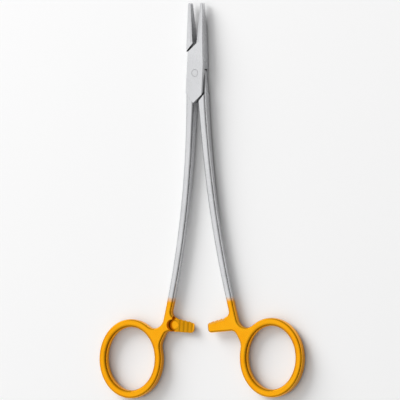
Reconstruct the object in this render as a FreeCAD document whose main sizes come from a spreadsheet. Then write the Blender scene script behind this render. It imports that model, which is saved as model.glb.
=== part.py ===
import FreeCAD, Part
import math
import os
import re
import Sketcher

# Box-lock needle holder, 18 cm long, lying flat: +Y runs to the jaw tips, +X to the right, +Z up.
# The origin is on the pivot axis, at the underside. Each arm is drawn closed, with the parting line
# of the jaws on its own Y axis and its middle height on its own XY plane, then turned to its rest.

sizes = {
    # box lock
    "box_half_width": (4.1, "half the width of the box lock"),
    "box_thickness": (5.6, "full thickness of the box lock"),
    "shoulder_reach": (13.4, "from the pivot to where a slanted cheek edge meets the parting line"),
    "shoulder_gap": (0.15, "gap between a cheek edge and the shoulder behind it, closed"),
    "shoulder_overlap": (1.5, "how far the female jaw and shank reach in behind a cheek edge"),
    "slot_height": (2.4, "height of the slot through the box"),
    "tongue_clearance": (0.05, "gap above and below the tongue in the slot"),
    "slot_gap": (0.1, "gap beside the tongue at the slot's walls"),
    "opening_stop": (50.0, "angle between closed jaws and the tongue meeting the slot's ends"),
    "rest_opening": (8.4, "angle between the arms as the holder lies, degrees"),
    "pin_radius": (1.6, "pivot pin"),
    "pin_clearance": (0.04, "running gap between pin and tongue"),
    "pin_edge": (0.15, "bevel at the pin's ends"),
    # jaws
    "jaw_root": (4.0, "where the jaw starts to narrow"),
    "jaw_tip": (31.1, "where the tip's round end starts"),
    "jaw_tip_width": (1.55, "width of one jaw at its round end"),
    "jaw_tip_round": (0.8, "radius of the round end, seen from above"),
    "jaw_edge": (0.4, "rounding of the jaw's outer edges"),
    "taper_start": (9.0, "where the jaws start to get thinner"),
    "taper_line": (14.0, "where the thinning becomes a straight slope"),
    "taper_line_half": (2.6, "half the thickness there"),
    "taper_tip_half": (1.15, "half the thickness at the tip's round end"),
    # jaw inserts
    "insert_start": (13.9, "where the insert starts"),
    "insert_base": (1.2, "insert thickness at its start"),
    "insert_tip": (0.75, "insert thickness at the tip"),
    "face_gap": (0.04, "from the parting line to each grip face, closed"),
    "hatch_pitch": (1.3, "length of one diamond of the grip face"),
    "hatch_depth": (0.22, "depth of the grooves"),
    "hatch_half_angle": (42.0, "half the angle of a groove"),
    "hatch_slant": (45.0, "slant of the grooves across the jaw, degrees"),
    # shanks
    "parting_gap": (0.15, "from the parting line to each shank, closed"),
    "shank_bend": (33.0, "where the inner side starts to bow outward"),
    "shank_inner_radius": (438.0, "bow of the inner side"),
    "shank_outer_radius": (471.0, "bow of the outer side, from the shoulder to its end"),
    "shank_end": (124.0, "from the pivot to the outer side's end inside the ring"),
    "shank_end_across": (12.6, "from the parting line to that end"),
    "bend_half": (2.29, "half the thickness at the bend, where the faces' shallow hollow begins"),
    "hollow_past": (1.55, "how far past the ring that hollow ends"),
    "hollow_end_half": (2.6, "half the thickness there"),
    "handle_edge": (1.0, "rounding of shank, bar and the ring's outside"),
    # finger rings
    "ring_near": (10.3, "from the parting line to the ring's near side"),
    "ring_top": (112.75, "from the pivot to the ring's top"),
    "ring_half_width": (15.7, "outside, across"),
    "ring_half_length": (17.85, "outside, along"),
    "ring_band": (3.6, "width of the ring's band"),
    "ring_tilt": (3.3, "lean of the ring, lower end inward, degrees"),
    "ring_hole_edge": (1.5, "rounding of the ring's inside"),
    "crotch_round": (5.0, "round between shank and ring, outside"),
    "web_inside": (2.6, "from the ring's near side to the web's end inside its band"),
    "web_down": (13.4, "from the ring's top to the web's end"),
    "web_round": (6.0, "round where the web runs into the ring"),
    # ratchet
    "bar_reach": (4.5, "how far a ratchet bar passes the parting line"),
    "bar_root": (9.5, "from the parting line to the bar's end inside the shank"),
    "bar_top": (111.5, "the bar's upper edge at the parting line"),
    "bar_slope": (0.18, "fall of that edge for each mm along the bar"),
    "bar_bottom": (117.0, "the bar's lower edge"),
    "web_overlap": (2.0, "how far above that edge the web starts"),
    "bar_tip_round": (1.6, "corners of the bar's tip"),
    "bar_upper_round": (2.6, "round between shank and bar, above"),
    "bar_lower_round": (3.0, "round between bar and web, below"),
    "tooth_pitch": (2.1, "from tooth to tooth"),
    "tooth_depth": (0.75, "height of a tooth"),
    "tooth_gap": (0.1, "from the tooth tips to the middle height"),
    "first_tooth": (4.5, "from the parting line to the first tooth's foot"),
    "tooth_count": (4.0, "teeth on each bar"),
    "recess_across": (5.8, "from the parting line to the recess behind the teeth"),
    "recess_down": (114.0, "from the pivot to the middle of that recess"),
    "recess_radius": (2.5, "radius of that recess"),
    "bar_bevel": (0.7, "run of the bar's bevelled upper side for each mm of its height"),
}

doc = FreeCAD.newDocument("needle_holder")
sheet = doc.addObject("Spreadsheet::Sheet", "dims")
for row, (alias, (value, note)) in enumerate(sizes.items(), start=1):
    sheet.set(f"A{row}", alias)
    sheet.set(f"B{row}", str(value))
    sheet.set(f"C{row}", note)
    sheet.setAlias(f"B{row}", alias)
doc.recompute()

halfThickness = "box_thickness / 2"
clearOfAll = "box_thickness * 3"


def bound(formula):
    # A formula in the sheet's words, written as an expression of the document.
    return re.sub(r"[a-z]\w*", lambda word: ("dims." if word[0] in sizes else "") + word[0], formula)


def valueOf(formula):
    return float(sheet.evalExpression(bound(formula)))


def flipped(side, corners):
    # Mirrors an outline across the parting line when side is -1.
    return [(f"{side} * ({across})", along) for across, along in corners]


def newBody(name):
    body = doc.addObject("PartDesign::Body", name)
    body.Label = name
    return body


def originPart(body, role):
    return next(item for item in body.Origin.OriginFeatures if item.Role == role)


def newSketch(body, name, role, moved=None, turnAxis=None, turn="0"):
    # A sketch on one of the body's own planes, moved along or off it or turned on it by a formula.
    sketch = body.newObject("Sketcher::SketchObject", name)
    sketch.AttachmentSupport = [(originPart(body, role), "")]
    sketch.MapMode = "FlatFace"
    if turnAxis:
        turning = FreeCAD.Rotation(turnAxis, valueOf(turn))
        sketch.AttachmentOffset = FreeCAD.Placement(FreeCAD.Vector(), turning)
        sketch.setExpression("AttachmentOffset.Rotation.Angle", bound(turn))
    if moved:
        sketch.setExpression(f"AttachmentOffset.Base.{moved[0]}", bound(moved[1]))
    return sketch


def bindPoint(sketch, geometry, end, corner):
    for kind, formula in zip(("DistanceX", "DistanceY"), corner):
        index = sketch.addConstraint(Sketcher.Constraint(kind, geometry, end, valueOf(formula)))
        sketch.setExpression(f"Constraints[{index}]", bound(formula))


def arcPoint(start, end, radius):
    # Middle of the arc from start to end, which bulges to the right of the way for a positive radius.
    chord = end - start
    rise = abs(radius) - math.sqrt(radius**2 - (chord.Length / 2) ** 2)
    sideways = FreeCAD.Vector(chord.y, -chord.x, 0).normalize()
    return (start + end) / 2 + sideways * math.copysign(rise, radius)


def drawOutline(sketch, corners, bends=None):
    # A closed outline through its corners. bends gives the signed radius of the sides that are arcs.
    bends = bends or {}
    points = [FreeCAD.Vector(valueOf(across), valueOf(along), 0) for across, along in corners]
    for index, start in enumerate(points):
        following = (index + 1) % len(points)
        end = points[following]
        if index in bends:
            sign, radius = bends[index]
            middle = arcPoint(start, end, sign * valueOf(radius))
            side = sketch.addGeometry(Part.Arc(start, middle, end), False)
            bow = sketch.addConstraint(Sketcher.Constraint("Radius", side, valueOf(radius)))
            sketch.setExpression(f"Constraints[{bow}]", bound(radius))
        else:
            side = sketch.addGeometry(Part.LineSegment(start, end), False)
        forward = sketch.getPoint(side, 1).distanceToPoint(start) < 1e-4
        bindPoint(sketch, side, 1 if forward else 2, corners[index])
        bindPoint(sketch, side, 2 if forward else 1, corners[following])


def drawCircle(sketch, corner, radius):
    centre = FreeCAD.Vector(valueOf(corner[0]), valueOf(corner[1]), 0)
    circle = sketch.addGeometry(Part.Circle(centre, FreeCAD.Vector(0, 0, 1), valueOf(radius)), False)
    bindPoint(sketch, circle, 3, corner)
    size = sketch.addConstraint(Sketcher.Constraint("Radius", circle, valueOf(radius)))
    sketch.setExpression(f"Constraints[{size}]", bound(radius))


def drawEllipse(sketch, corner, halfLength, halfWidth, lean):
    # An upright ellipse that leans by an angle, with both its axes bound.
    centre = FreeCAD.Vector(valueOf(corner[0]), valueOf(corner[1]), 0)
    upright = math.radians(90 + valueOf(lean))
    along = FreeCAD.Vector(math.cos(upright), math.sin(upright), 0)
    across = FreeCAD.Vector(-along.y, along.x, 0)
    curve = Part.Ellipse(centre + along * valueOf(halfLength), centre + across * valueOf(halfWidth), centre)
    ellipse = sketch.addGeometry(curve, False)
    sketch.exposeInternalGeometry(ellipse)
    bindPoint(sketch, ellipse, 3, corner)
    for axis, half in ((ellipse + 1, halfLength), (ellipse + 2, halfWidth)):
        size = sketch.addConstraint(Sketcher.Constraint("Distance", axis, 2 * valueOf(half)))
        sketch.setExpression(f"Constraints[{size}]", bound(f"2 * ({half})"))
    turn = sketch.addConstraint(Sketcher.Constraint("Angle", ellipse + 1, upright))
    sketch.setExpression(f"Constraints[{turn}]", bound(f"(90 + {lean}) * 1 deg"))


def raise_(body, name, sketch, length):
    pad = body.newObject("PartDesign::Pad", name)
    pad.Profile = sketch
    pad.SideType = "Symmetric"
    pad.Length = valueOf(length)
    pad.setExpression("Length", bound(length))
    doc.recompute()
    if not pad.isValid():
        raise ValueError(f"{name} can't be raised")
    return pad


def cut(body, name, sketch, length, oneWay=False, backward=False):
    # A pocket, which must take material away.
    before = body.Tip.Shape.Volume
    pocket = body.newObject("PartDesign::Pocket", name)
    pocket.Profile = sketch
    pocket.SideType = "One side" if oneWay else "Symmetric"
    pocket.Reversed = backward
    pocket.Length = valueOf(length)
    pocket.setExpression("Length", bound(length))
    doc.recompute()
    if pocket.Shape.Volume >= before:
        raise ValueError(f"{name} of {body.Label} cuts nothing")
    return pocket


def dress(body, name, edges, radius, kind="PartDesign::Fillet"):
    base = body.Tip
    feature = body.newObject(kind, name)
    feature.Base = (base, edges)
    sizeName = "Radius" if kind == "PartDesign::Fillet" else "Size"
    setattr(feature, sizeName, valueOf(radius))
    feature.setExpression(sizeName, bound(radius))
    doc.recompute()
    if not feature.isValid():
        raise ValueError(f"{name} of {body.Label} can't be made")
    return feature


def isUpright(edge):
    run = edge.valueAt(edge.LastParameter) - edge.valueAt(edge.FirstParameter)
    return math.hypot(run.x, run.y) < 1e-3 < abs(run.z)


def uprightEdgeNear(shape, corner):
    place = FreeCAD.Vector(valueOf(corner[0]), valueOf(corner[1]), 0)
    upright = [(number, edge) for number, edge in enumerate(shape.Edges, 1) if isUpright(edge)]
    names = [(edge.CenterOfMass, f"Edge{number}") for number, edge in upright]
    return min(names, key=lambda item: math.hypot(item[0].x - place.x, item[0].y - place.y))[1]


def flatEdges(shape, keep):
    # Names of the edges around the upper and lower faces whose middle the test keeps.
    names = []
    for number, edge in enumerate(shape.Edges, 1):
        middle = edge.valueAt((edge.FirstParameter + edge.LastParameter) / 2)
        if not isUpright(edge) and keep(middle):
            names.append(f"Edge{number}")
    return names


def innerSide(place):
    # From the parting line to the shank's inner side at a place past its bend.
    return f"parting_gap + shank_inner_radius - sqrt(shank_inner_radius^2 - ({place} - shank_bend)^2)"


webStart = "(bar_bottom - web_overlap)"
webEnd = ("ring_near + web_inside", "-(ring_top + web_down)")
ringCentre = ("(ring_near + ring_half_width)", "-(ring_top + ring_half_length)")
hollowEnd = "(ring_top + 2 * ring_half_length + hollow_past)"


def handleOutline(outerReach, innerReach):
    # Shank and web, on the side of +X, from the shoulder down into the ring.
    return [
        ("parting_gap", f"parting_gap - ({innerReach})"),
        ("box_half_width", f"box_half_width - ({outerReach})"),
        ("shank_end_across", "-shank_end"),
        webEnd,
        (innerSide(webStart), f"-{webStart}"),
        ("parting_gap", "-shank_bend"),
    ]


def addHandle(body, side, outerReach, innerReach):
    shank = newSketch(body, f"{body.Label}_shank_outline", "XY_Plane")
    bends = {1: (side, "shank_outer_radius"), 4: (-side, "shank_inner_radius")}
    drawOutline(shank, flipped(side, handleOutline(outerReach, innerReach)), bends)
    raise_(body, f"{body.Label}_shank", shank, "box_thickness")

    ring = newSketch(body, f"{body.Label}_ring_outline", "XY_Plane")
    centre = flipped(side, [ringCentre])[0]
    drawEllipse(ring, centre, "ring_half_length", "ring_half_width", f"{-side} * ring_tilt")
    raise_(body, f"{body.Label}_ring", ring, "box_thickness")

    bar = newSketch(body, f"{body.Label}_bar_outline", "XY_Plane")
    corners = [
        ("bar_root", "-bar_bottom"),
        ("-bar_reach", "-bar_bottom"),
        ("-bar_reach", "-(bar_top + bar_slope * bar_reach)"),
        ("bar_root", "-(bar_top - bar_slope * bar_root)"),
    ]
    drawOutline(bar, flipped(side, corners))
    raise_(body, f"{body.Label}_bar", bar, "box_thickness")

    innerAtBar = innerSide("bar_top")
    rounds = [
        ("crotch", ("shank_end_across", "-(bar_bottom + shank_end) / 2"), "crotch_round"),
        ("web", webEnd, "web_round"),
        ("under_bar", (innerAtBar, "-bar_bottom"), "bar_lower_round"),
        ("over_bar", (innerAtBar, "-bar_top"), "bar_upper_round"),
        ("bar_tip_low", ("-bar_reach", "-bar_bottom"), "bar_tip_round"),
        ("bar_tip_high", ("-bar_reach", "-bar_top"), "bar_tip_round"),
    ]
    for name, corner, radius in rounds:
        edge = uprightEdgeNear(body.Tip.Shape, flipped(side, [corner])[0])
        dress(body, f"{body.Label}_{name}", [edge], radius)

    hole = newSketch(body, f"{body.Label}_ring_hole", "XY_Plane")
    lean = f"{-side} * ring_tilt"
    drawEllipse(hole, centre, "ring_half_length - ring_band", "ring_half_width - ring_band", lean)
    cut(body, f"{body.Label}_finger_hole", hole, clearOfAll)

    thinning = newSketch(body, f"{body.Label}_thinning", "YZ_Plane")
    for up in (1, -1):
        drawThinning(thinning, up)
    cut(body, f"{body.Label}_side_profile", thinning, hollowEnd)

    middle = [valueOf(formula) for formula in centre]
    halves = [valueOf(f"{half} - ring_band / 2") for half in ("ring_half_width", "ring_half_length")]
    shoulder = valueOf(f"{outerReach} + shoulder_gap")

    def onHole(point):
        return math.hypot((point.x - middle[0]) / halves[0], (point.y - middle[1]) / halves[1]) < 1

    def onOutside(point):
        return not onHole(point) and side * point.x - point.y > shoulder

    dress(body, f"{body.Label}_hole_rounding", flatEdges(body.Tip.Shape, onHole), "ring_hole_edge")
    dress(body, f"{body.Label}_rounding", flatEdges(body.Tip.Shape, onOutside), "handle_edge")


def drawThinning(sketch, up):
    # What is taken off above or below, seen from the side: a straight slope from the shoulder to the
    # bend, then a shallow hollow that starts along that slope and ends past the ring.
    shoulder = "(shoulder_reach - box_half_width)"
    corners = [
        (f"-{shoulder}", f"{up} * {halfThickness}"),
        ("-shank_bend", f"{up} * bend_half"),
        (f"-{hollowEnd}", f"{up} * hollow_end_half"),
        (f"-{hollowEnd}", f"{up} * box_thickness"),
        (f"-{shoulder}", f"{up} * box_thickness"),
    ]
    slope = f"atan(({halfThickness} - bend_half) / (shank_bend - {shoulder}))"
    run, rise = f"({hollowEnd} - shank_bend)", "(hollow_end_half - bend_half)"
    hollow = f"({run}^2 + {rise}^2) / (2 * ({run} * sin({slope}) + {rise} * cos({slope})))"
    drawOutline(sketch, corners, {1: (-up, hollow)})


def outerJaw(place):
    # The jaw's outer side is straight from its root to the tip's round end.
    return f"box_half_width - {jawSlope} * ({place} - jaw_root)"


jawSlope = "(box_half_width - jaw_tip_width) / (jaw_tip - jaw_root)"


def jawRoot(reach):
    # Where the outer side meets the slanted line at that reach: distance along the jaw.
    return f"(({reach}) - box_half_width - {jawSlope} * jaw_root) / (1 - {jawSlope})"


def addJaw(body, side, reach):
    # A whole jaw, with the room of its insert still solid, on the side of +X.
    jaw = newSketch(body, f"{body.Label}_jaw_outline", "XY_Plane")
    corners = [
        ("0", f"{reach}"),
        (outerJaw(jawRoot(reach)), jawRoot(reach)),
        ("jaw_tip_width", "jaw_tip"),
        ("0", "jaw_tip"),
    ]
    drawOutline(jaw, flipped(side, corners), {2: (side, "jaw_tip_round")})
    raise_(body, f"{body.Label}_jaw", jaw, "box_thickness")


def taperJaw(body):
    taper = newSketch(body, f"{body.Label}_jaw_taper", "YZ_Plane")
    fall = "(taper_line_half - taper_tip_half) / (jaw_tip - taper_line)"
    beyond = "(jaw_tip + jaw_tip_round * 2)"
    for up in (1, -1):
        corners = [
            ("taper_start", f"{up} * {halfThickness}"),
            ("taper_line", f"{up} * taper_line_half"),
            (beyond, f"{up} * (taper_tip_half - {fall} * jaw_tip_round * 2)"),
            (beyond, f"{up} * box_thickness"),
            ("taper_start", f"{up} * box_thickness"),
        ]
        drawOutline(taper, corners)
    cut(body, f"{body.Label}_jaw_side_profile", taper, clearOfAll)


def roundJaw(body, side):
    # The jaw's outer edges and its tip are rounded. The edges beside the grip face stay sharp.
    start, tip = valueOf("taper_start"), valueOf("jaw_tip")
    slope, root, wide = valueOf(jawSlope), valueOf("jaw_root"), valueOf("box_half_width")

    def isOuter(point):
        onSide = abs(side * point.x - wide + slope * (point.y - root)) < 1e-3
        onTip = point.y > tip and side * point.x > valueOf("parting_gap")
        return point.y > start and abs(point.z) > valueOf("slot_height / 2 - slot_gap") and (onSide or onTip)

    dress(body, f"{body.Label}_jaw_rounding", flatEdges(body.Tip.Shape, isOuter), "jaw_edge")


def addRatchet(body, side, up):
    # The bar keeps the half of its height away from the teeth, which face up or down.
    tips = f"{-up} * tooth_gap"
    floor = f"{-up} * (tooth_gap + tooth_depth)"
    backward = up > 0

    land = newSketch(body, f"{body.Label}_bar_land", "XY_Plane", ("z", tips))
    low = "-(bar_bottom + tooth_depth)"
    high = "tooth_depth - (bar_top - bar_slope * recess_across)"
    past = "-(bar_reach + recess_radius)"
    corners = [(past, low), ("recess_across", low), ("recess_across", high), (past, high)]
    drawOutline(land, flipped(side, corners))
    cut(body, f"{body.Label}_bar_half", land, clearOfAll, oneWay=True, backward=backward)

    recess = newSketch(body, f"{body.Label}_recess_outline", "XY_Plane", ("z", floor))
    drawCircle(recess, flipped(side, [("recess_across", "-recess_down")])[0], "recess_radius")
    cut(body, f"{body.Label}_recess", recess, clearOfAll, oneWay=True, backward=backward)

    squareToEdge = (FreeCAD.Vector(0, side, 0), "atan(bar_slope)")
    bevel = newSketch(body, f"{body.Label}_bevel_profile", "YZ_Plane", ("x", "-bar_top"), *squareToEdge)
    top = f"{-up} * box_thickness"
    corners = [
        ("0", tips),
        ("box_thickness", tips),
        ("box_thickness", top),
        ("-bar_bevel * (box_thickness - tooth_gap)", top),
    ]
    drawOutline(bevel, corners)
    cut(body, f"{body.Label}_bevel", bevel, "2 * bar_reach")

    tooth = newSketch(body, f"{body.Label}_tooth_profile", "XZ_Plane", ("z", "recess_down"))
    foot = "first_tooth - tooth_pitch"
    corners = [("first_tooth", tips), (foot, floor), (foot, tips)]
    drawOutline(tooth, flipped(side, corners))
    groove = cut(body, f"{body.Label}_tooth_gap", tooth, "(bar_bottom - bar_top) * 2")
    teeth = body.newObject("PartDesign::LinearPattern", f"{body.Label}_teeth")
    teeth.Originals = [groove]
    teeth.Direction = (tooth, ["H_Axis"])
    teeth.Reversed = side > 0
    teeth.Occurrences = round(valueOf("tooth_count"))
    teeth.setExpression("Length", bound("(tooth_count - 1) * tooth_pitch"))
    body.Tip = teeth
    doc.recompute()
    if teeth.Shape.Volume >= groove.Shape.Volume:
        raise ValueError(f"the teeth of {body.Label} cut nothing")


def addPinHole(body, clearance):
    hole = newSketch(body, f"{body.Label}_pin_hole_outline", "XY_Plane")
    drawCircle(hole, ("0", "0"), f"pin_radius + {clearance}")
    cut(body, f"{body.Label}_pin_hole", hole, clearOfAll)


def seatLine(place):
    # The insert's seat runs straight from its start to the tip.
    fall = "(insert_base - insert_tip) / (jaw_tip - insert_start)"
    return f"insert_base - {fall} * ({place} - insert_start)"


beyondTip = "(jaw_tip + jaw_tip_round)"


def cutSeat(body, side):
    seat = newSketch(body, f"{body.Label}_seat_outline", "XY_Plane")
    corners = [
        ("-jaw_tip_width", "insert_start"),
        ("insert_base", "insert_start"),
        (seatLine(beyondTip), beyondTip),
        ("-jaw_tip_width", beyondTip),
    ]
    drawOutline(seat, flipped(side, corners))
    cut(body, f"{body.Label}_seat", seat, clearOfAll)


def place(body, side):
    # Lifts a piece of the arm with its handle on that side, and turns it about the pivot to its rest.
    turning = FreeCAD.Rotation(FreeCAD.Vector(0, 0, side), valueOf("rest_opening / 2"))
    body.Placement = FreeCAD.Placement(FreeCAD.Vector(0, 0, valueOf(halfThickness)), turning)
    body.setExpression("Placement.Base.z", bound(halfThickness))
    body.setExpression("Placement.Rotation.Angle", bound("rest_opening / 2 * 1 deg"))


def cheekOutline():
    # Both cheeks and the metal between them, on the handle's side of +X, with the jaw's root inside.
    inJaw = jawRoot("shoulder_reach - shoulder_overlap")
    low, high = "box_half_width - shoulder_reach", "shoulder_reach - box_half_width"
    return [
        ("box_half_width", low),
        ("box_half_width", high),
        ("0", "shoulder_reach"),
        (f"-({outerJaw(inJaw)})", inJaw),
        ("-box_half_width", "jaw_root"),
        ("-box_half_width", low),
        ("parting_gap", "-shoulder_reach - parting_gap"),
    ]


def slotOutline():
    # The slot lets the tongue swing between its two ends, which stand square to the stop angle.
    gap = "slot_gap"
    stop = "(box_half_width + slot_gap)"
    outside = "(box_half_width * 2)"
    endNear = f"({stop} - {gap} * cos(opening_stop)) / sin(opening_stop)"
    endFar = f"({stop} - {outside} * cos(opening_stop)) / sin(opening_stop)"
    reach = "shoulder_reach"
    upper = [(f"-{gap}", endNear), (f"-{outside}", endFar), (f"-{outside}", f"-{reach}")]
    lower = [(gap, f"-({endNear})"), (outside, f"-({endFar})"), (outside, reach)]
    return [(f"-{gap}", reach)] + upper + [(gap, f"-{reach}")] + lower


def makeFemaleArm():
    side, up = -1, 1
    body = newBody("female_arm")
    reach = "shoulder_reach - shoulder_overlap"
    addHandle(body, side, "shoulder_reach", reach)
    addRatchet(body, side, up)

    cheeks = newSketch(body, "female_arm_box_outline", "XY_Plane")
    drawOutline(cheeks, flipped(side, cheekOutline()))
    raise_(body, "female_arm_box", cheeks, "box_thickness")
    addJaw(body, -side, reach)
    taperJaw(body)
    roundJaw(body, -side)

    slot = newSketch(body, "female_arm_slot_outline", "XY_Plane")
    drawOutline(slot, flipped(side, slotOutline()))
    cut(body, "female_arm_slot", slot, "slot_height")
    cutSeat(body, -side)
    addPinHole(body, "0")
    place(body, side)
    return body


def tongueOutline(reach):
    # The band from jaw to shank, on the handle's side of +X below the pivot and the other side above.
    near, wide = "parting_gap", "box_half_width"
    inside = f"({reach} + shoulder_overlap)"
    root = jawRoot(reach)
    return [
        (near, f"-{wide} / 2"),
        (near, f"{near} - {inside}"),
        (wide, f"{wide} - ({reach})"),
        (wide, "0"),
        (f"-{near}", f"{wide} / 2"),
        (f"-{near}", f"{inside} - {near}"),
        (f"-({outerJaw(root)})", root),
        (f"-{wide}", "jaw_root"),
        (f"-{wide}", "0"),
    ]


def makeMaleArm():
    side, up = 1, -1
    body = newBody("male_arm")
    reach = "shoulder_reach + shoulder_gap"
    thickness = "slot_height - 2 * tongue_clearance"
    addHandle(body, side, reach, reach)
    addRatchet(body, side, up)

    band = newSketch(body, "male_arm_tongue_outline", "XY_Plane")
    drawOutline(band, flipped(side, tongueOutline(reach)))
    raise_(body, "male_arm_tongue", band, thickness)
    hub = newSketch(body, "male_arm_hub_outline", "XY_Plane")
    drawCircle(hub, ("0", "0"), "box_half_width")
    raise_(body, "male_arm_hub", hub, thickness)
    addJaw(body, -side, reach)
    taperJaw(body)
    roundJaw(body, -side)
    cutSeat(body, -side)
    addPinHole(body, "pin_clearance")
    place(body, side)
    return body


def makePin():
    body = newBody("pivot_pin")
    outline = newSketch(body, "pivot_pin_outline", "XY_Plane")
    drawCircle(outline, ("0", "0"), "pin_radius")
    raise_(body, "pivot_pin_shaft", outline, "box_thickness")
    rims = flatEdges(body.Tip.Shape, lambda point: True)
    dress(body, "pivot_pin_bevel", rims, "pin_edge", "PartDesign::Chamfer")
    body.Placement = FreeCAD.Placement(FreeCAD.Vector(0, 0, valueOf(halfThickness)), FreeCAD.Rotation())
    body.setExpression("Placement.Base.z", bound(halfThickness))
    return body


def makeInsert(name, side):
    # A jaw cut down to its insert, with side that of the arm's handle.
    body = newBody(name)
    addJaw(body, -side, "taper_start")
    taperJaw(body)
    steel = newSketch(body, f"{name}_seat_outline", "XY_Plane")
    corners = [
        ("-box_half_width", "insert_start"),
        ("insert_base", "insert_start"),
        (seatLine(beyondTip), beyondTip),
        ("box_half_width * 2", beyondTip),
        ("box_half_width * 2", "0"),
        ("-box_half_width", "0"),
    ]
    drawOutline(steel, flipped(-side, corners))
    cut(body, f"{name}_seat_face", steel, clearOfAll)
    gap = newSketch(body, f"{name}_face_outline", "XY_Plane")
    corners = [
        ("-box_half_width", "0"),
        ("face_gap", "0"),
        ("face_gap", beyondTip),
        ("-box_half_width", beyondTip),
    ]
    drawOutline(gap, flipped(-side, corners))
    cut(body, f"{name}_grip_face", gap, clearOfAll)
    cutHatch(body, -side)
    place(body, side)
    return body


def cutHatch(body, side):
    # Two rows of slanted grooves cross on the grip face and leave diamond points.
    start = "(insert_start - hatch_pitch)"
    count = f"ceil(({beyondTip} - {start}) / hatch_pitch)"
    apex, open_ = "(face_gap + hatch_depth)", "(face_gap - hatch_depth)"
    half = "2 * hatch_depth * tan(hatch_half_angle)"
    for slant, name in ((1, "rising"), (-1, "falling")):
        across = (FreeCAD.Vector(slant, 0, 0), "hatch_slant * 1 deg")
        profile = newSketch(body, f"{body.Label}_{name}_profile", "XZ_Plane", ("z", f"-{start}"), *across)
        drawOutline(profile, flipped(side, [(apex, "0"), (open_, half), (open_, f"-{half}")]))
        groove = cut(body, f"{body.Label}_{name}_groove", profile, clearOfAll)
        row = body.newObject("PartDesign::LinearPattern", f"{body.Label}_{name}_grooves")
        row.Originals = [groove]
        row.Direction = (originPart(body, "Y_Axis"), [""])
        row.setExpression("Occurrences", bound(count))
        row.setExpression("Length", bound(f"({count} - 1) * hatch_pitch"))
        body.Tip = row
        doc.recompute()
        if row.Shape.Volume >= groove.Shape.Volume:
            raise ValueError(f"the {name} grooves of {body.Label} cut nothing")


def writeParts(bodies):
    failed = [item.Name for item in doc.Objects if {"Invalid", "Error"} & set(item.State)]
    if failed:
        raise ValueError(f"failed: {failed}")
    os.makedirs("parts", exist_ok=True)
    for body in bodies:
        shape = body.Shape
        if shape.isNull() or not shape.isValid() or len(shape.Solids) != 1:
            raise ValueError(f"{body.Label} is not one sound solid")
        shape.exportStep(f"parts/{body.Label}.step")
        print(body.Label, round(shape.Volume, 1), "mm3")


bodies = [makeFemaleArm(), makeMaleArm(), makePin()]
bodies += [makeInsert("female_jaw_insert", -1), makeInsert("male_jaw_insert", 1)]
doc.recompute()
writeParts(bodies)
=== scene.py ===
import math

import bpy
from mathutils import Euler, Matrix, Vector

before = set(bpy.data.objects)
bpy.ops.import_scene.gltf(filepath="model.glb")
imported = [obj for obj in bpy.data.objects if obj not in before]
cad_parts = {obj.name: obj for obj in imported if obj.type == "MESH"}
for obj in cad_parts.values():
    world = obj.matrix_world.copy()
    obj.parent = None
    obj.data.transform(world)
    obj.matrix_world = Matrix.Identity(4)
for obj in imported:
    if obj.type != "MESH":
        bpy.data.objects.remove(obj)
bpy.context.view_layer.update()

print("frame loaded:", sorted(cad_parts))

# The drawing's view: from above, leaning over to the holder's right, with the jaws up the page.
view = {
    "lean": 27.0,             # degrees away from straight down, towards +X
    "roll": 0.85,             # degrees that the holder is turned on the page
    "width": 0.18,            # metres across the page
    "centreAlong": -0.05715,  # the middle of the page, up from the pivot
    "centreAcross": 0.0011,   # and to its right
    "height": 0.0028,         # the pivot's middle above the floor
    "away": 5.0,              # far off, so that the page shows next to no perspective
}


def aimCamera():
    lean, roll = math.radians(view["lean"]), math.radians(view["roll"])
    turn = Euler((0, lean, 0)).to_matrix() @ Euler((0, 0, -roll)).to_matrix()
    pivot = Vector((0, 0, view["height"]))
    middle = pivot + turn @ Vector((view["centreAcross"], view["centreAlong"], 0))
    camera = bpy.data.cameras.new("pageCamera")
    camera.angle = 2 * math.atan(view["width"] / 2 / view["away"])
    cameraObject = bpy.data.objects.new("pageCamera", camera)
    cameraObject.location = middle + turn @ Vector((0, 0, view["away"]))
    cameraObject.rotation_euler = turn.to_euler()
    bpy.context.scene.collection.objects.link(cameraObject)
    bpy.context.scene.camera = cameraObject


aimCamera()
print("camera set")


def node(tree, kind, **settings):
    made = tree.nodes.new(kind)
    for name, value in settings.items():
        setattr(made, name, value)
    return made


def shaderOf(material):
    return next(item for item in material.node_tree.nodes if item.type == "BSDF_PRINCIPLED")


def startMetal(name):
    material = bpy.data.materials.new(name)
    material.use_nodes = True
    shader = shaderOf(material)
    shader.inputs["Metallic"].default_value = 1.0
    return material, material.node_tree, shader


def objectPattern(tree, grain=(1, 1, 1), turn=0.0):
    # Object coordinates keep a pattern on its piece. They are turned with the arm, and then stretched
    # to the grain's size along each axis.
    coordinates = node(tree, "ShaderNodeTexCoord")
    mapping = node(tree, "ShaderNodeMapping", vector_type="TEXTURE")
    mapping.inputs["Scale"].default_value = grain
    mapping.inputs["Rotation"].default_value = (0, 0, turn)
    tree.links.new(coordinates.outputs["Object"], mapping.inputs["Vector"])
    return mapping.outputs["Vector"]


def noise(tree, vector, scale, detail, roughness=0.5):
    made = node(tree, "ShaderNodeTexNoise")
    made.inputs["Scale"].default_value = scale
    made.inputs["Detail"].default_value = detail
    made.inputs["Roughness"].default_value = roughness
    tree.links.new(vector, made.inputs["Vector"])
    return made.outputs["Fac"]


def spread(tree, value, low, high, fromLow=0.0, fromHigh=1.0):
    # Carries a value over from one range to another, and holds it at the ends.
    made = node(tree, "ShaderNodeMapRange")
    numbers = {"From Min": fromLow, "From Max": fromHigh, "To Min": low, "To Max": high}
    for name, number in numbers.items():
        made.inputs[name].default_value = number
    tree.links.new(value, made.inputs["Value"])
    return made.outputs["Result"]


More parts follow.
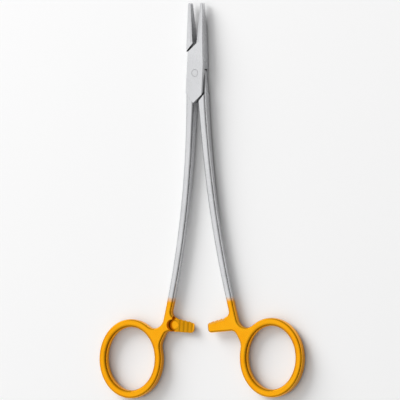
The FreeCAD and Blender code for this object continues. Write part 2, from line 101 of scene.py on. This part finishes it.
def mixColour(tree, share, first, second):
    made = node(tree, "ShaderNodeMix", data_type="RGBA")
    tree.links.new(share, made.inputs["Factor"])
    for socket, colour in ((made.inputs["A"], first), (made.inputs["B"], second)):
        if isinstance(colour, tuple):
            socket.default_value = (*colour, 1)
        else:
            tree.links.new(colour, socket)
    return made.outputs["Result"]


def combine(tree, kind, first, second):
    made = node(tree, "ShaderNodeMath", operation=kind)
    for socket, value in zip(made.inputs, (first, second)):
        if isinstance(value, (int, float)):
            socket.default_value = value
        else:
            tree.links.new(value, socket)
    return made.outputs["Value"]


def addBump(tree, shader, height, finish):
    bump = node(tree, "ShaderNodeBump")
    bump.inputs["Strength"].default_value = finish["bumpStrength"]
    bump.inputs["Distance"].default_value = finish["bumpHeight"]
    tree.links.new(height, bump.inputs["Height"])
    tree.links.new(bump.outputs["Normal"], shader.inputs["Normal"])


# Painted shade in crevices: the colour is darkened where walls close in around a point.
creviceShade = {
    "shadeTone": 0.12,    # what is left of the colour in the deepest ones, under the painted shade
    "closed": 0.4,   # open share of the surroundings at which they are that dark
    "open": 0.95,    # and at which a face is clear of walls
    "samples": 8,
}


def paintCreviceShade(tree, colour, reach):
    # Painted shade: tooth roots, grooves and seams are darkened below the open faces beside them, by how
    # closed in they are.
    near = node(tree, "ShaderNodeAmbientOcclusion", samples=creviceShade["samples"])
    near.inputs["Distance"].default_value = reach
    shadeTone = spread(tree, near.outputs["AO"], creviceShade["shadeTone"], 1.0, creviceShade["closed"], creviceShade["open"])
    made = node(tree, "ShaderNodeMix", data_type="RGBA", blend_type="MULTIPLY")
    made.inputs["Factor"].default_value = 1.0
    tree.links.new(colour, made.inputs["A"])
    tree.links.new(shadeTone, made.inputs["B"])
    return made.outputs["Result"]


armFinish = {
    "steel": (0.74, 0.745, 0.76),
    "steelDull": (0.66, 0.665, 0.68),
    "steelParting": (0.3, 0.7),      # how sharply its two tones part
    "gold": (0.98, 0.45, 0.012),
    "goldDeep": (0.95, 0.38, 0.006),
    "goldParting": (0.35, 0.7),
    "patches": {"scale": 90.0, "detail": 4.0},  # per metre
    "specks": {"scale": 1500.0, "detail": 2.0},
    "lines": {"scale": 1.0, "detail": 2.0},     # stretched by the grain below
    "lineGrain": (0.00055, 0.017, 0.00055),     # size of the polishing lines, metres
    "platingStart": -0.1026,         # along the arm, from the pivot
    "platingFade": 0.0012,
    "platingStray": 0.0005,          # how far its edge strays
    "stray": {"scale": 700.0, "detail": 3.0},
    "roughness": (0.18, 0.34),
    "patchRoughness": (-0.04, 0.06),
    "platingRoughness": -0.07,       # added where there is plating, which is polished
    "bumpStrength": 0.25,
    "bumpHeight": 0.00001,
    "creviceShadeReach": 0.0013,          # how far from a wall the painted crevice shade reaches
    "restTurn": 4.2,                 # degrees, half the opening at rest
}


def makeArmFinish(name, turn):
    # Satin steel with fine lengthwise polishing lines, gold plated from above the ratchet down, and
    # painted shade in its crevices.
    material, tree, shader = startMetal(name)
    along = objectPattern(tree, turn=turn)
    lines = noise(tree, objectPattern(tree, armFinish["lineGrain"], turn), **armFinish["lines"])
    patches = noise(tree, along, **armFinish["patches"])
    specks = noise(tree, along, **armFinish["specks"])

    steelShare = spread(tree, patches, 0, 1, *armFinish["steelParting"])
    steel = mixColour(tree, steelShare, armFinish["steelDull"], armFinish["steel"])
    goldShare = spread(tree, patches, 0, 1, *armFinish["goldParting"])
    gold = mixColour(tree, goldShare, armFinish["goldDeep"], armFinish["gold"])

    apart = node(tree, "ShaderNodeSeparateXYZ")
    tree.links.new(along, apart.inputs["Vector"])
    stray = armFinish["platingStray"]
    uneven = spread(tree, noise(tree, along, **armFinish["stray"]), -stray, stray)
    edge = combine(tree, "ADD", apart.outputs["Y"], uneven)
    start, fade = armFinish["platingStart"], armFinish["platingFade"]
    plated = spread(tree, edge, 1.0, 0.0, start - fade, start + fade)
    # Painted shade: the colour is darkened in tooth roots, seams and the slot.
    metal = paintCreviceShade(tree, mixColour(tree, plated, steel, gold), armFinish["creviceShadeReach"])
    tree.links.new(metal, shader.inputs["Base Color"])

    lineDullness = spread(tree, lines, *armFinish["roughness"])
    dull = combine(tree, "ADD", lineDullness, spread(tree, patches, *armFinish["patchRoughness"]))
    dull = combine(tree, "ADD", dull, spread(tree, plated, 0, armFinish["platingRoughness"]))
    tree.links.new(dull, shader.inputs["Roughness"])
    addBump(tree, shader, combine(tree, "ADD", lines, specks), armFinish)
    return material


pinFinish = {
    "marks": 1600.0,  # turning marks, per metre
    "waver": 1.5,
    "roughness": (0.22, 0.34),
}


def makePinFinish():
    # The arms' steel, ground flush, with turning marks round the pin's own axis.
    material, tree, shader = startMetal("groundPin")
    rings = node(tree, "ShaderNodeTexWave", wave_type="RINGS", rings_direction="Z")
    rings.inputs["Scale"].default_value = pinFinish["marks"]
    rings.inputs["Distortion"].default_value = pinFinish["waver"]
    tree.links.new(objectPattern(tree), rings.inputs["Vector"])
    share = rings.outputs["Fac"]
    steel = mixColour(tree, share, armFinish["steelDull"], armFinish["steel"])
    tree.links.new(steel, shader.inputs["Base Color"])
    tree.links.new(spread(tree, share, *pinFinish["roughness"]), shader.inputs["Roughness"])
    return material


carbideFinish = {
    "pale": (0.80, 0.805, 0.82),
    "dark": (0.64, 0.645, 0.66),
    "parting": (0.35, 0.65),
    "grain": {"scale": 4000.0, "detail": 4.0, "roughness": 0.7},  # per metre
    "roughness": (0.38, 0.6),
    "bumpStrength": 0.4,
    "bumpHeight": 0.00002,
    "grooveShadeReach": 0.0003,  # how far from a wall the painted groove shade reaches
}


def makeCarbideFinish():
    # Sintered carbide: duller than the steel, with a fine grain and painted shade in its grooves.
    material, tree, shader = startMetal("sinteredCarbide")
    grain = noise(tree, objectPattern(tree), **carbideFinish["grain"])
    share = spread(tree, grain, 0, 1, *carbideFinish["parting"])
    grey = mixColour(tree, share, carbideFinish["dark"], carbideFinish["pale"])
    # Painted shade: the grip face's grooves are darkened.
    grooveShaded = paintCreviceShade(tree, grey, carbideFinish["grooveShadeReach"])
    tree.links.new(grooveShaded, shader.inputs["Base Color"])
    tree.links.new(spread(tree, grain, *carbideFinish["roughness"]), shader.inputs["Roughness"])
    addBump(tree, shader, grain, carbideFinish)
    return material


restTurn = math.radians(armFinish["restTurn"])
pieceFinishes = {
    "female_arm": makeArmFinish("slottedArmFinish", -restTurn),
    "male_arm": makeArmFinish("tongueArmFinish", restTurn),
    "pivot_pin": makePinFinish(),
    "female_jaw_insert": makeCarbideFinish(),
}
pieceFinishes["male_jaw_insert"] = pieceFinishes["female_jaw_insert"]
for name, finish in pieceFinishes.items():
    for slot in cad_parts[name].material_slots:
        slot.material = finish
print("finishes given to", len(pieceFinishes), "pieces")


studio = {
    "floorSize": 3.0,
    "floorColour": (0.96, 0.96, 0.96),
    "floorRoughness": 0.9,
    "floorShine": 0.1,
    "skyBright": 1.02,
    "skyDark": 0.02,
    "skyFrom": (-0.50, 0.12, 0.86),   # the bright side of the tent
    "skyFall": 2.8,                   # how fast it darkens away from there
    "glowFrom": (-0.72, 0.62, 0.22),  # a low soft patch of light that the metal mirrors
    "glowBright": 1.0,
    "glowEdges": (0.93, 0.985),       # cosines of its half width, outside and inside
    "keyPlace": (-1.35, 1.3, 0.92),
    "keyAim": (0, -0.05, 0),
    "keySize": 1.6,
    "keyPower": 42.0,
}


def layFloor():
    bpy.ops.object.select_all(action="DESELECT")
    bpy.ops.mesh.primitive_plane_add(size=studio["floorSize"], location=(0, 0, 0))
    floor = bpy.context.object
    floor.name = "studioFloor"
    material = bpy.data.materials.new("paleFloor")
    material.use_nodes = True
    shader = shaderOf(material)
    shader.inputs["Base Color"].default_value = (*studio["floorColour"], 1)
    shader.inputs["Roughness"].default_value = studio["floorRoughness"]
    shader.inputs["Specular IOR Level"].default_value = studio["floorShine"]
    floor.data.materials.append(material)


def towards(tree, place):
    # Cosine of the angle between each direction of the sky and a place in it.
    coordinates = node(tree, "ShaderNodeTexCoord")
    product = node(tree, "ShaderNodeVectorMath", operation="DOT_PRODUCT")
    tree.links.new(coordinates.outputs["Generated"], product.inputs[0])
    product.inputs[1].default_value = Vector(place).normalized()
    return product.outputs["Value"]


def paintSky():
    world = bpy.data.worlds.new("studioSky")
    bpy.context.scene.world = world
    world.use_nodes = True
    tree = world.node_tree
    back = next(item for item in tree.nodes if item.type == "BACKGROUND")
    # The share is 1 towards the bright side and 0 away from it.
    share = spread(tree, towards(tree, studio["skyFrom"]), 0, 1, -1, 1)
    fallen = combine(tree, "POWER", share, studio["skyFall"])
    level = spread(tree, fallen, studio["skyDark"], studio["skyBright"])
    glow = spread(tree, towards(tree, studio["glowFrom"]), 0, studio["glowBright"], *studio["glowEdges"])
    tree.links.new(combine(tree, "ADD", level, glow), back.inputs["Strength"])
    back.inputs["Color"].default_value = (1, 1, 1, 1)


def hangKeyLamp():
    lamp = bpy.data.lights.new("softKey", "AREA")
    lamp.shape = "DISK"
    lamp.size = studio["keySize"]
    lamp.energy = studio["keyPower"]
    lampObject = bpy.data.objects.new("softKey", lamp)
    lampObject.location = studio["keyPlace"]
    aim = Vector(studio["keyAim"]) - Vector(studio["keyPlace"])
    lampObject.rotation_euler = aim.to_track_quat("-Z", "Y").to_euler()
    lampObject.visible_glossy = False  # the metal mirrors the sky's even glow and no lamp
    lampObject.visible_camera = False
    bpy.context.scene.collection.objects.link(lampObject)


layFloor()
paintSky()
hangKeyLamp()
print("floor and lights set")

bpy.context.scene.view_settings.view_transform = "Standard"
